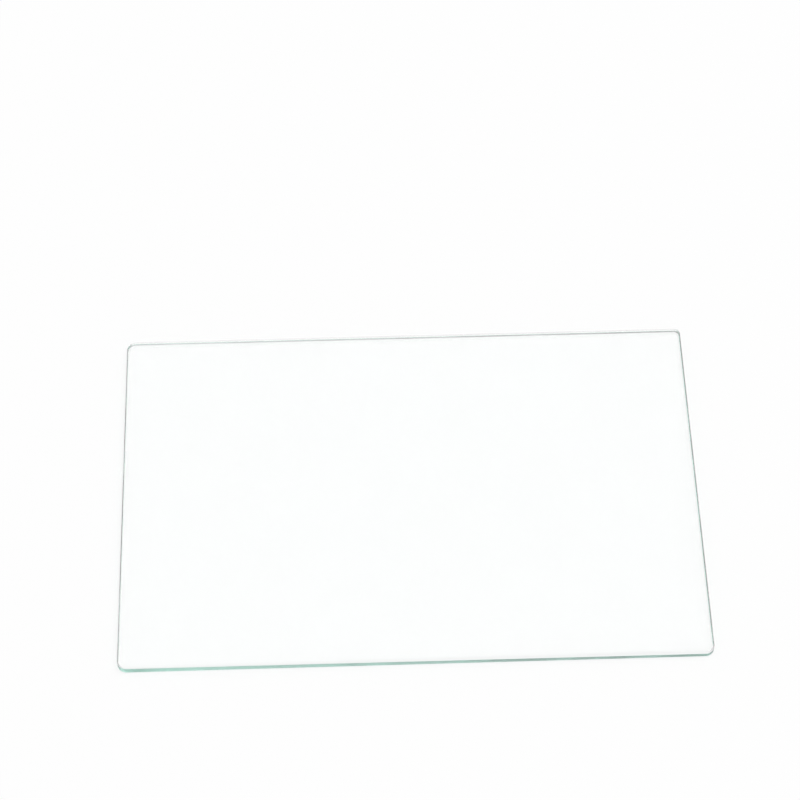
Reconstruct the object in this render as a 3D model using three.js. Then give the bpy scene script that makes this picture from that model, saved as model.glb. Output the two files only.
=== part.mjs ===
// A plain microscope slide of the large 75 x 50 mm format.
//
// It is one pane of clear soda-lime glass, cut from flat stock. Its four corners are rounded by hand,
// one of them less than the others. Its rim is flat and square to the faces, and a fine ground bevel,
// the arris, breaks the sharp edge between the rim and each face. Nothing is printed on it, and no
// part of it is frosted.
//
// Millimetres, +Z up. The pane lies flat with its lower face on z = 0. Its length runs along X and
// its width along Y, and the Z axis passes through the middle of the faces.
import * as THREE from "three";

// Driving dimensions.
const length = 75;
const width = 50;
const thickness = 1.1;
const cornerRadius = 1.2;
const tightCornerRadius = 0.8; // of the corner towards +X and +Y
const arrisWidth = 0.1; // how far the bevel reaches across a face, and as far down the rim
const arcStepsPerCorner = 24;

// The finish of the bare glass.
const glassColour = 0xd9efe7;
const glassRoughness = 0.04;
const glassOpacity = 0.35;

// The pane seen from above: a rectangle whose corners are arcs, from the one towards +X and -Y on
// anticlockwise.
function paneOutline() {
  const corners = [
    { sideX: 1, sideY: -1, radius: cornerRadius },
    { sideX: 1, sideY: 1, radius: tightCornerRadius },
    { sideX: -1, sideY: 1, radius: cornerRadius },
    { sideX: -1, sideY: -1, radius: cornerRadius },
  ];
  const quarterTurn = Math.PI / 2;
  const outline = new THREE.Shape();
  corners.forEach(({ sideX, sideY, radius }, corner) => {
    const x = sideX * (length / 2 - radius);
    const y = sideY * (width / 2 - radius);
    const start = (corner - 1) * quarterTurn;
    outline.absarc(x, y, radius, start, start + quarterTurn);
  });
  outline.closePath();
  return outline;
}

// The outline given its thickness. The flat rim lies between the two bevels, and the bevels step
// in from the outline, so that length and width are the true outer sizes.
function paneGeometry() {
  const geometry = new THREE.ExtrudeGeometry(paneOutline(), {
    depth: thickness - 2 * arrisWidth,
    curveSegments: arcStepsPerCorner / 2, // an arc is drawn with two steps for each of these
    bevelEnabled: true,
    bevelSegments: 1,
    bevelThickness: arrisWidth,
    bevelSize: arrisWidth,
    bevelOffset: -arrisWidth,
  });
  geometry.translate(0, 0, arrisWidth);
  return geometry;
}

const glass = new THREE.MeshStandardMaterial({
  color: glassColour,
  roughness: glassRoughness,
  metalness: 0,
  transparent: true,
  opacity: glassOpacity,
});

const pane = new THREE.Mesh(paneGeometry(), glass);
pane.name = "glass_pane";

const slide = new THREE.Group();
slide.name = "microscope_slide";
slide.add(pane);

export default slide;
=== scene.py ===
"""The looks of a plain microscope slide: one pane of clear glass with ground edges, on a white sheet.

Lengths are in metres, as in the frame, and angles are in degrees. The pane lies flat: its length
runs along X, its width along Y, and its lower face is at the bottom of the CAD box.
"""

import itertools
import math

import bmesh
import bpy
from mathutils import Matrix, Vector, noise


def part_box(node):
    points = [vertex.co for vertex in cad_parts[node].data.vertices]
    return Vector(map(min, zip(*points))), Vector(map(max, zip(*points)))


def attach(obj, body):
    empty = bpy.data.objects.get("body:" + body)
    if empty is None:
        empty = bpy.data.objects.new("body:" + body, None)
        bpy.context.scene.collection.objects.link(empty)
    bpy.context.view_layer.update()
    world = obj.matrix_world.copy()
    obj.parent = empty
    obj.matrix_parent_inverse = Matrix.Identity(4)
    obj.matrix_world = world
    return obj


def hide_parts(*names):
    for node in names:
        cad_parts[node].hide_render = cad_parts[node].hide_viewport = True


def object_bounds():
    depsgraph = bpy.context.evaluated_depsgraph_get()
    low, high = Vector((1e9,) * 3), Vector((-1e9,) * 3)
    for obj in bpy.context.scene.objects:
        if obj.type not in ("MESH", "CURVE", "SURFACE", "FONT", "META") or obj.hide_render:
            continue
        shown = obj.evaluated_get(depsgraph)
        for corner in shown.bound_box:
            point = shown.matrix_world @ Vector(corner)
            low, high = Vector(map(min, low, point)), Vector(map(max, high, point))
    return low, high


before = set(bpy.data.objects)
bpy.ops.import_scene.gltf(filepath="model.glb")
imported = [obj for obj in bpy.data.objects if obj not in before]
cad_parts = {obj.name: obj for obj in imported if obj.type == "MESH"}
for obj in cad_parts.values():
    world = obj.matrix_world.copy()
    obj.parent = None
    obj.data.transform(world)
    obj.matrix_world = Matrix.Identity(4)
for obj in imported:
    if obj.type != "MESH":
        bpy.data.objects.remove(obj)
cad_low, cad_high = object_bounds()

MM = 0.001

# Camera: where it looks from, and the point that is in the middle of its picture.
CAMERA_SENSOR = 36  # this and the lens are in millimetres, whatever the scene's unit
CAMERA_LENS = 118.5
CAMERA_AZIMUTH = 1.77
CAMERA_ELEVATION = 55.95
CAMERA_DISTANCE = 353 * MM
CAMERA_TARGET = Vector((-0.84, 15.19, 0)) * MM
CAMERA_NEAREST = 0.01
CAMERA_FARTHEST = 20

# The pane's edges. Its length, width and thickness come from the frame.
CORNER_RADIUS = 1.2 * MM
TIGHT_CORNER_RADIUS = 0.8 * MM  # of the corner towards +X and +Y
ARRIS_WIDTH = 0.1 * MM
ARRIS_WANDER = 0.03  # how much the hand-held grinding changes the arris, as a share of its width
ARRIS_WANDER_LENGTH = 9 * MM
FRONT_ARRIS_GROWTH = 1.5  # how far the front arrises widen to the right, as a share of their width
CREASE_RADIUS = 0.02 * MM
CREASE_STEPS = 3
CORNER_STEPS = 24
SIDE_STEP = 0.5 * MM
NEARLY_FLAT = 0.01  # slope, or lean from upright, that still counts as none

# The map that the export bakes through has a strip for each run of the rim. Over them is one more, with
# the upper and the lower face side by side.
MAP_STRIP = 1 / 5
MAP_FACE_STRIP = 4
MAP_EDGE = 0.01  # margin, as a share of a strip
MAP_FILL = 0.96

# Light and setting.
SHEET_SIZE = 8.0
SHEET_GAP = 0.03 * MM  # air between the sheet and the pane
SHEET_WHITE = (0.97, 0.97, 0.97, 1)
SHEET_GLOW = 0.85  # share of the sheet that shows as plain white
KEY_AZIMUTH = 100
KEY_ELEVATION = 70
KEY_DISTANCE = 3.0
KEY_SIZE = 1.4
KEY_LIGHT = 0.35  # how bright the key alone makes a white surface that lies flat
SKY_LIGHT = 0.66  # strength of the sky on matt surfaces, where glass and gloss show it at 1
SKY_SHAPE = (0.0, 0.8, 1.0)  # the sky is light at its top, and at its front and back ends, not its sides
SKY_REACH = 0.6  # how far the dark goes up the sky at its sides, as a share of its radius
BOUNCES = 64  # enough for the light that runs along inside the glass

# Glass. The land is the flat of the rim, and the arrises are its two bevels. "Cut" is how rough the
# cutting left a land, as a share of how rough it left the corners. "Ground and shade" is how far grinding
# has made a face matt, and how far painted shade greys it. The front arrises are clear.
IOR = 1.52
CLEAR_COLOUR = (1, 1, 1, 1)
DEPTH_COLOUR = (0.0, 0.85, 0.62, 1)
DEPTH_DENSITY = 10.5  # per metre
CORNER_ROUGHNESS = 0.5
FRONT_CUT = 0.6
OTHER_CUT = 0.18
GROUND_ROUGHNESS = 0.3
GROUND_CLEARNESS = 0.8  # share of a ground face that still lets light through
# Painted shade: a dark grey, warmed against the glass's green, that the ground faces take as their base
# colour
GROUND_SHADE_COLOUR = (0.2, 0.125, 0.145, 1)
# How far these are ground and painted with shade, as (way along to the right, share). The rise towards
# the right is painted shade, darker towards the right. The sides' upper arrises are fully ground and
# painted with shade.
LOWER_SIDE_GROUND_AND_SHADE = ((0, 0.3), (1, 0.8))
BACK_GROUND_AND_SHADE = ((0, 0.35), (1, 0.75))
LAND_GROUND_AND_SHADE = ((0, 0), (0.25, 0.3), (0.8, 0.65), (0.92, 0.65), (1, 0.3))  # at the front and the sides
BLOTCH_SCALE = 250  # patches where the grinding took more or less, some 4 mm long
BLOTCH_DETAIL = 2
BLOTCH_STRENGTH = 0.25
STREAK_SCALE = (300, 300, 30000)  # scratches that the wheel left along the rim
STREAK_DETAIL = 3
STREAK_DEPTH = 0.003 * MM
NOISE_LOW, NOISE_HIGH = 0.3, 0.7  # nearly all of the noise's values are between these


def unit_toward(azimuth, elevation):
    """The unit vector from the pane towards something at this azimuth, from -Y round to +X, and height."""
    a, e = math.radians(azimuth), math.radians(elevation)
    return Vector((math.sin(a) * math.cos(e), -math.cos(a) * math.cos(e), math.sin(e)))


def look_along(holder, direction):
    holder.rotation_mode = "QUATERNION"
    holder.rotation_quaternion = direction.to_track_quat("-Z", "Y")


def make_camera():
    camera = bpy.data.cameras.new("camera")
    camera.sensor_width = CAMERA_SENSOR
    camera.lens = CAMERA_LENS
    camera.clip_start = CAMERA_NEAREST
    camera.clip_end = CAMERA_FARTHEST
    holder = bpy.data.objects.new("camera", camera)
    bpy.context.scene.collection.objects.link(holder)
    back = unit_toward(-CAMERA_AZIMUTH, CAMERA_ELEVATION)
    holder.location = CAMERA_TARGET + back * CAMERA_DISTANCE
    look_along(holder, -back)
    bpy.context.scene.camera = holder


def link_mesh(name, mesh):
    piece = bpy.data.objects.new(name, mesh)
    bpy.context.scene.collection.objects.link(piece)
    return piece


# ---- The pane's mesh ----

def outline_runs(length, width):
    """The pane's outline in four runs, from the front right corner on. Each run is a corner and the
    side after it, as points with the outward normal there, up to where the next corner starts."""
    corners = (
        (1, -1, CORNER_RADIUS),
        (1, 1, TIGHT_CORNER_RADIUS),
        (-1, 1, CORNER_RADIUS),
        (-1, -1, CORNER_RADIUS),
    )
    arcs = []
    for corner, (side_x, side_y, radius) in enumerate(corners):
        centre = Vector((side_x * (length / 2 - radius), side_y * (width / 2 - radius)))
        arc = []
        for step in range(CORNER_STEPS + 1):
            angle = math.radians(90 * (corner - 1 + step / CORNER_STEPS))
            normal = Vector((math.cos(angle), math.sin(angle)))
            arc.append((centre + normal * radius, normal))
        arcs.append(arc)
    runs = []
    for arc, next_arc in zip(arcs, arcs[1:] + arcs[:1]):
        start, normal = arc[-1]
        side = next_arc[0][0] - start
        steps = round(side.length / SIDE_STEP)
        runs.append(arc + [(start + side * step / steps, normal) for step in range(1, steps + 1)])
    return runs


def rounded(corners, radius, steps):
    """A line through these corners, with each but the first and last rounded by an arc."""
    points = [corners[0]]
    for before, corner, after in zip(corners, corners[1:], corners[2:]):
        back, on = (before - corner).normalized(), (after - corner).normalized()
        half_angle = back.angle(on) / 2
        centre = corner + (back + on).normalized() * (radius / math.sin(half_angle))
        spoke = corner + back * (radius / math.tan(half_angle)) - centre
        turn = math.copysign(math.pi - 2 * half_angle, (-back).cross(on))
        for step in range(steps + 1):
            points.append(centre + Matrix.Rotation(turn * step / steps, 2) @ spoke)
    return points + [corners[-1]]


def rim_profile(thickness, arris):
    """(inset, height) points down the rim, from the edge of the upper face to that of the lower one."""
    corners = [
        Vector((2 * arris, thickness)),
        Vector((arris, thickness)),
        Vector((0, thickness - arris)),
        Vector((0, arris)),
        Vector((arris, 0)),
        Vector((2 * arris, 0)),
    ]
    return rounded(corners, CREASE_RADIUS, CREASE_STEPS)


def between(points, at):
    """The value at this place on the line through these (place, value) points."""
    for (start, low), (end, high) in zip(points, points[1:]):
        if at <= end:
            return low + (high - low) * (at - start) / (end - start)
    return points[-1][1]


def rim_finish(upper, lower, normal, length):
    """How far a face between two points down the rim is cut, and ground and painted with shade, from 0 to
    1.
    """
    drop = upper.z - lower.z
    reach = (upper - lower).xy.length
    if drop < NEARLY_FLAT * reach:  # the margin of the upper or the lower face
        return {"cut": 0.0, "ground_and_shade": 0.0}
    front, back = max(0.0, -normal.y), max(0.0, normal.y)
    rightward = upper.x / length + 0.5
    if reach > NEARLY_FLAT * drop:  # an arris
        faces_up = (lower - upper).xy.dot(normal) > 0
        # Painted shade: the ground share, and with it the dark grey, rises towards the right.
        side_ground_and_shade = 1.0 if faces_up else between(LOWER_SIDE_GROUND_AND_SHADE, rightward)
        ground_and_shade = side_ground_and_shade * (1 - front - back) + between(BACK_GROUND_AND_SHADE, rightward) * back
        return {"cut": 0.0, "ground_and_shade": ground_and_shade}
    # The product of a share and its rest is at most a quarter, so this is 0 on the straight lands, and
    # goes up to 1 round the corners.
    corner = 4 * (front + back) * (1 - front - back)
    cut = FRONT_CUT * front + OTHER_CUT * (1 - front)
    return {"cut": cut + (1 - cut) * corner, "ground_and_shade": (1 - back) * between(LAND_GROUND_AND_SHADE, rightward)}


def travels(points):
    """How far along the line through these points each of them is."""
    steps = [(after - before).length for before, after in zip(points, points[1:])]
    return [0.0, *itertools.accumulate(steps)]


def place_on_map(across, up, strip, half=0, halves=1):
    """A point on the map, from how far across and up its part of a strip it is, as shares."""
    return ((half + MAP_EDGE + across * MAP_FILL) / halves, (strip + MAP_EDGE + up * MAP_FILL) * MAP_STRIP)


def make_pane(low, high):
    """The glass as one closed mesh. How far each face is cut, and ground and painted with shade, is marked
    on it.
    """
    middle = (low + high) / 2
    length, width, thickness = high - low
    mesh = bpy.data.meshes.new("glass_slide")
    shape = bmesh.new()
    marks = {name: shape.faces.layers.float.new(name) for name in ("cut", "ground_and_shade")}
    uv = shape.loops.layers.uv.new("OFBake")
    down_rim = travels(rim_profile(thickness, ARRIS_WIDTH))
    columns = []
    for strip, run in enumerate(outline_runs(length, width)):
        along = travels([point for point, _ in run])
        for (point, normal), *span in zip(run, along, along[1:]):
            wander = ARRIS_WANDER * noise.noise((point / ARRIS_WANDER_LENGTH).to_3d())
            growth = FRONT_ARRIS_GROWTH * max(0.0, -normal.y) * (point.x / length + 0.5)
            ring = []
            for inset, height in rim_profile(thickness, ARRIS_WIDTH * (1 + wander + growth)):
                at = point - normal * inset
                ring.append(shape.verts.new((middle.x + at.x, middle.y + at.y, low.z + height)))
            columns.append((ring, normal, strip, span))
    rings = [ring for ring, *_ in columns]
    for (ring, normal, strip, span), after in zip(columns, rings[1:] + rings[:1]):
        for row in range(len(ring) - 1):
            face = shape.faces.new((ring[row], ring[row + 1], after[row + 1], after[row]))
            face.smooth = True
            for name, share in rim_finish(ring[row].co, ring[row + 1].co, normal, length).items():
                face[marks[name]] = share
            corners = ((0, row), (0, row + 1), (1, row + 1), (1, row))
            for loop, (end, level) in zip(face.loops, corners):
                loop[uv].uv = place_on_map(span[end] / length, down_rim[level] / down_rim[-1], strip)
    edges = ([ring[0] for ring in rings], [ring[-1] for ring in reversed(rings)])
    for half, edge in enumerate(edges):
        for loop in shape.faces.new(edge).loops:
            across, up = loop.vert.co.x / length + 0.5, loop.vert.co.y / width + 0.5
            loop[uv].uv = place_on_map(across, up, MAP_FACE_STRIP, half, len(edges))
    shape.normal_update()
    shape.to_mesh(mesh)
    shape.free()
    return link_mesh("glass_slide", mesh)


# ---- Materials ----

def new_material(name):
    material = bpy.data.materials.new(name)
    material.use_nodes = True
    material.node_tree.nodes.clear()
    return material, material.node_tree.nodes, material.node_tree.links


def share_of(nodes, name):
    """The share that the pane's faces have in this mark."""
    mark = nodes.new("ShaderNodeAttribute")
    mark.attribute_name = name
    return mark.outputs["Fac"]


def mixed(nodes, links, kind, factor, a, b):
    """A mix of two values, "FLOAT", or colours, "RGBA". Each is a number, a colour or a socket."""
    mix = nodes.new("ShaderNodeMix")
    mix.data_type = kind
    # A Mix node has a socket of each name for every kind, and only those of its own kind are on.
    sockets = [next(s for s in mix.inputs if s.name == name and s.enabled) for name in ("Factor", "A", "B")]
    for socket, given in zip(sockets, (factor, a, b)):
        if isinstance(given, bpy.types.NodeSocket):
            links.new(given, socket)
        else:
            socket.default_value = given
    return next(s for s in mix.outputs if s.enabled)


def grain(nodes, links, scale, detail):
    """Noise over the piece's own space, from 0 to 1. Its scale is one number or three."""
    place = nodes.new("ShaderNodeTexCoord")
    stretch = nodes.new("ShaderNodeVectorMath")
    stretch.operation = "MULTIPLY"
    stretch.inputs[1].default_value = scale if isinstance(scale, tuple) else (scale,) * 3
    links.new(place.outputs["Object"], stretch.inputs[0])
    pattern = nodes.new("ShaderNodeTexNoise")
    pattern.inputs["Scale"].default_value = 1.0
    pattern.inputs["Detail"].default_value = detail
    links.new(stretch.outputs["Vector"], pattern.inputs["Vector"])
    return pattern.outputs["Fac"]


def uneven(nodes, links, share, noise_value, strength):
    """The share made up to this much larger or smaller by the noise, and kept from 0 to 1."""
    change = nodes.new("ShaderNodeMapRange")
    change.inputs["From Min"].default_value = NOISE_LOW
    change.inputs["From Max"].default_value = NOISE_HIGH
    change.inputs["To Min"].default_value = 1 - strength
    change.inputs["To Max"].default_value = 1 + strength
    links.new(noise_value, change.inputs["Value"])
    product = nodes.new("ShaderNodeMath")
    product.operation = "MULTIPLY"
    product.use_clamp = True
    links.new(share, product.inputs[0])
    links.new(change.outputs["Result"], product.inputs[1])
    return product.outputs["Value"]


def glass_material():
    material, nodes, links = new_material("clear_soda_lime_glass")
    out = nodes.new("ShaderNodeOutputMaterial")
    glass = nodes.new("ShaderNodeBsdfPrincipled")
    glass.inputs["IOR"].default_value = IOR
    links.new(glass.outputs["BSDF"], out.inputs["Surface"])
    depth = nodes.new("ShaderNodeVolumeAbsorption")
    depth.inputs["Color"].default_value = DEPTH_COLOUR
    depth.inputs["Density"].default_value = DEPTH_DENSITY
    links.new(depth.outputs["Volume"], out.inputs["Volume"])
    cut = share_of(nodes, "cut")
    blotches = grain(nodes, links, BLOTCH_SCALE, BLOTCH_DETAIL)
    ground_and_shade = uneven(nodes, links, share_of(nodes, "ground_and_shade"), blotches, BLOTCH_STRENGTH)
    rough = mixed(nodes, links, "FLOAT", cut, 0.0, CORNER_ROUGHNESS)
    rough = mixed(nodes, links, "FLOAT", ground_and_shade, rough, GROUND_ROUGHNESS)
    links.new(rough, glass.inputs["Roughness"])
    clearness = mixed(nodes, links, "FLOAT", ground_and_shade, 1.0, GROUND_CLEARNESS)
    links.new(clearness, glass.inputs["Transmission Weight"])
    # Painted shade: ground faces take the dark grey base colour by their share
    colour = mixed(nodes, links, "RGBA", ground_and_shade, CLEAR_COLOUR, GROUND_SHADE_COLOUR)
    links.new(colour, glass.inputs["Base Color"])
    bump = nodes.new("ShaderNodeBump")
    bump.inputs["Distance"].default_value = STREAK_DEPTH
    links.new(ground_and_shade, bump.inputs["Strength"])
    links.new(grain(nodes, links, STREAK_SCALE, STREAK_DETAIL), bump.inputs["Height"])
    links.new(bump.outputs["Normal"], glass.inputs["Normal"])
    return material


def seen_directly(nodes, links):
    """1 for rays from the camera, also by way of glass and gloss, and 0 for light on a matt surface."""
    path = nodes.new("ShaderNodeLightPath")
    total = path.outputs["Is Camera Ray"]
    for name, operation in (
        ("Is Glossy Ray", "ADD"),
        ("Is Transmission Ray", "ADD"),
        ("Diffuse Depth", "SUBTRACT"),
    ):
        step = nodes.new("ShaderNodeMath")
        step.operation = operation
        step.use_clamp = True
        links.new(total, step.inputs[0])
        links.new(path.outputs[name], step.inputs[1])
        total = step.outputs["Value"]
    return total


def sheet_material():
    material, nodes, links = new_material("white_sheet")
    material.cycles.emission_sampling = "NONE"  # its glow is only seen, and is no lamp
    out = nodes.new("ShaderNodeOutputMaterial")
    paper = nodes.new("ShaderNodeBsdfDiffuse")
    paper.inputs["Color"].default_value = SHEET_WHITE
    glow = nodes.new("ShaderNodeEmission")
    glow.inputs["Color"].default_value = (1, 1, 1, 1)
    glow.inputs["Strength"].default_value = 1.0
    share = nodes.new("ShaderNodeMath")
    share.operation = "MULTIPLY"
    share.inputs[1].default_value = SHEET_GLOW
    links.new(seen_directly(nodes, links), share.inputs[0])
    mix = nodes.new("ShaderNodeMixShader")
    links.new(share.outputs["Value"], mix.inputs["Fac"])
    links.new(paper.outputs["BSDF"], mix.inputs[1])
    links.new(glow.outputs["Emission"], mix.inputs[2])
    links.new(mix.outputs["Shader"], out.inputs["Surface"])
    return material


# ---- Setting ----

def make_sheet():
    mesh = bpy.data.meshes.new("white_sheet")
    shape = bmesh.new()
    bmesh.ops.create_grid(shape, x_segments=1, y_segments=1, size=SHEET_SIZE / 2)
    shape.to_mesh(mesh)
    shape.free()
    sheet = link_mesh("white_sheet", mesh)
    sheet.location.z = cad_low.z - SHEET_GAP
    mesh.materials.append(sheet_material())


def make_key():
    lamp = bpy.data.lights.new("key", "AREA")
    lamp.shape = "DISK"
    lamp.size = KEY_SIZE
    toward = unit_toward(KEY_AZIMUTH, KEY_ELEVATION)
    # A disk of radiance L at this distance gives E = L * area * sin(elevation) / distance^2, and
    # its power is pi * area * L.
    area = math.pi * (KEY_SIZE / 2) ** 2
    radiance = KEY_LIGHT * math.pi * KEY_DISTANCE ** 2 / (area * toward.z)
    lamp.energy = radiance * math.pi * area
    holder = bpy.data.objects.new("key", lamp)
    bpy.context.scene.collection.objects.link(holder)
    holder.location = toward * KEY_DISTANCE
    look_along(holder, -toward)


def make_sky():
    """A sky that the camera sees as plain white, and that lights the pane less from low at its sides."""
    world = bpy.data.worlds.new("studio")
    bpy.context.scene.world = world
    world.use_nodes = True
    nodes, links = world.node_tree.nodes, world.node_tree.links
    nodes.clear()
    out = nodes.new("ShaderNodeOutputWorld")
    place = nodes.new("ShaderNodeTexCoord")
    shape = nodes.new("ShaderNodeVectorMath")
    shape.operation = "MULTIPLY"
    links.new(place.outputs["Generated"], shape.inputs[0])
    shape.inputs[1].default_value = SKY_SHAPE
    from_side = nodes.new("ShaderNodeVectorMath")
    from_side.operation = "LENGTH"
    links.new(shape.outputs["Vector"], from_side.inputs[0])
    height = nodes.new("ShaderNodeMapRange")
    height.inputs["From Max"].default_value = SKY_REACH
    links.new(from_side.outputs["Value"], height.inputs["Value"])
    level = nodes.new("ShaderNodeMapRange")
    level.inputs["To Min"].default_value = SKY_LIGHT
    links.new(seen_directly(nodes, links), level.inputs["Value"])
    light = nodes.new("ShaderNodeMath")
    light.operation = "MULTIPLY"
    links.new(height.outputs["Result"], light.inputs[0])
    links.new(level.outputs["Result"], light.inputs[1])
    path = nodes.new("ShaderNodeLightPath")
    mix = nodes.new("ShaderNodeMix")
    mix.data_type = "FLOAT"
    links.new(path.outputs["Is Camera Ray"], mix.inputs["Factor"])
    links.new(light.outputs["Value"], mix.inputs["A"])
    mix.inputs["B"].default_value = 1.0
    back = nodes.new("ShaderNodeBackground")
    links.new(mix.outputs["Result"], back.inputs["Strength"])
    back.inputs["Color"].default_value = (1, 1, 1, 1)
    links.new(back.outputs["Background"], out.inputs["Surface"])


def set_render():
    scene = bpy.context.scene
    scene.view_settings.view_transform = "Standard"
    scene.cycles.blur_glossy = 0  # light that has met a matt face isn't blurred any further
    scene.cycles.max_bounces = BOUNCES
    scene.cycles.glossy_bounces = BOUNCES
    scene.cycles.transmission_bounces = BOUNCES


make_camera()
make_sheet()
make_key()
make_sky()
set_render()

pane = make_pane(*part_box("glass_pane"))
pane.data.materials.append(glass_material())
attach(pane, "root")
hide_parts("glass_pane")
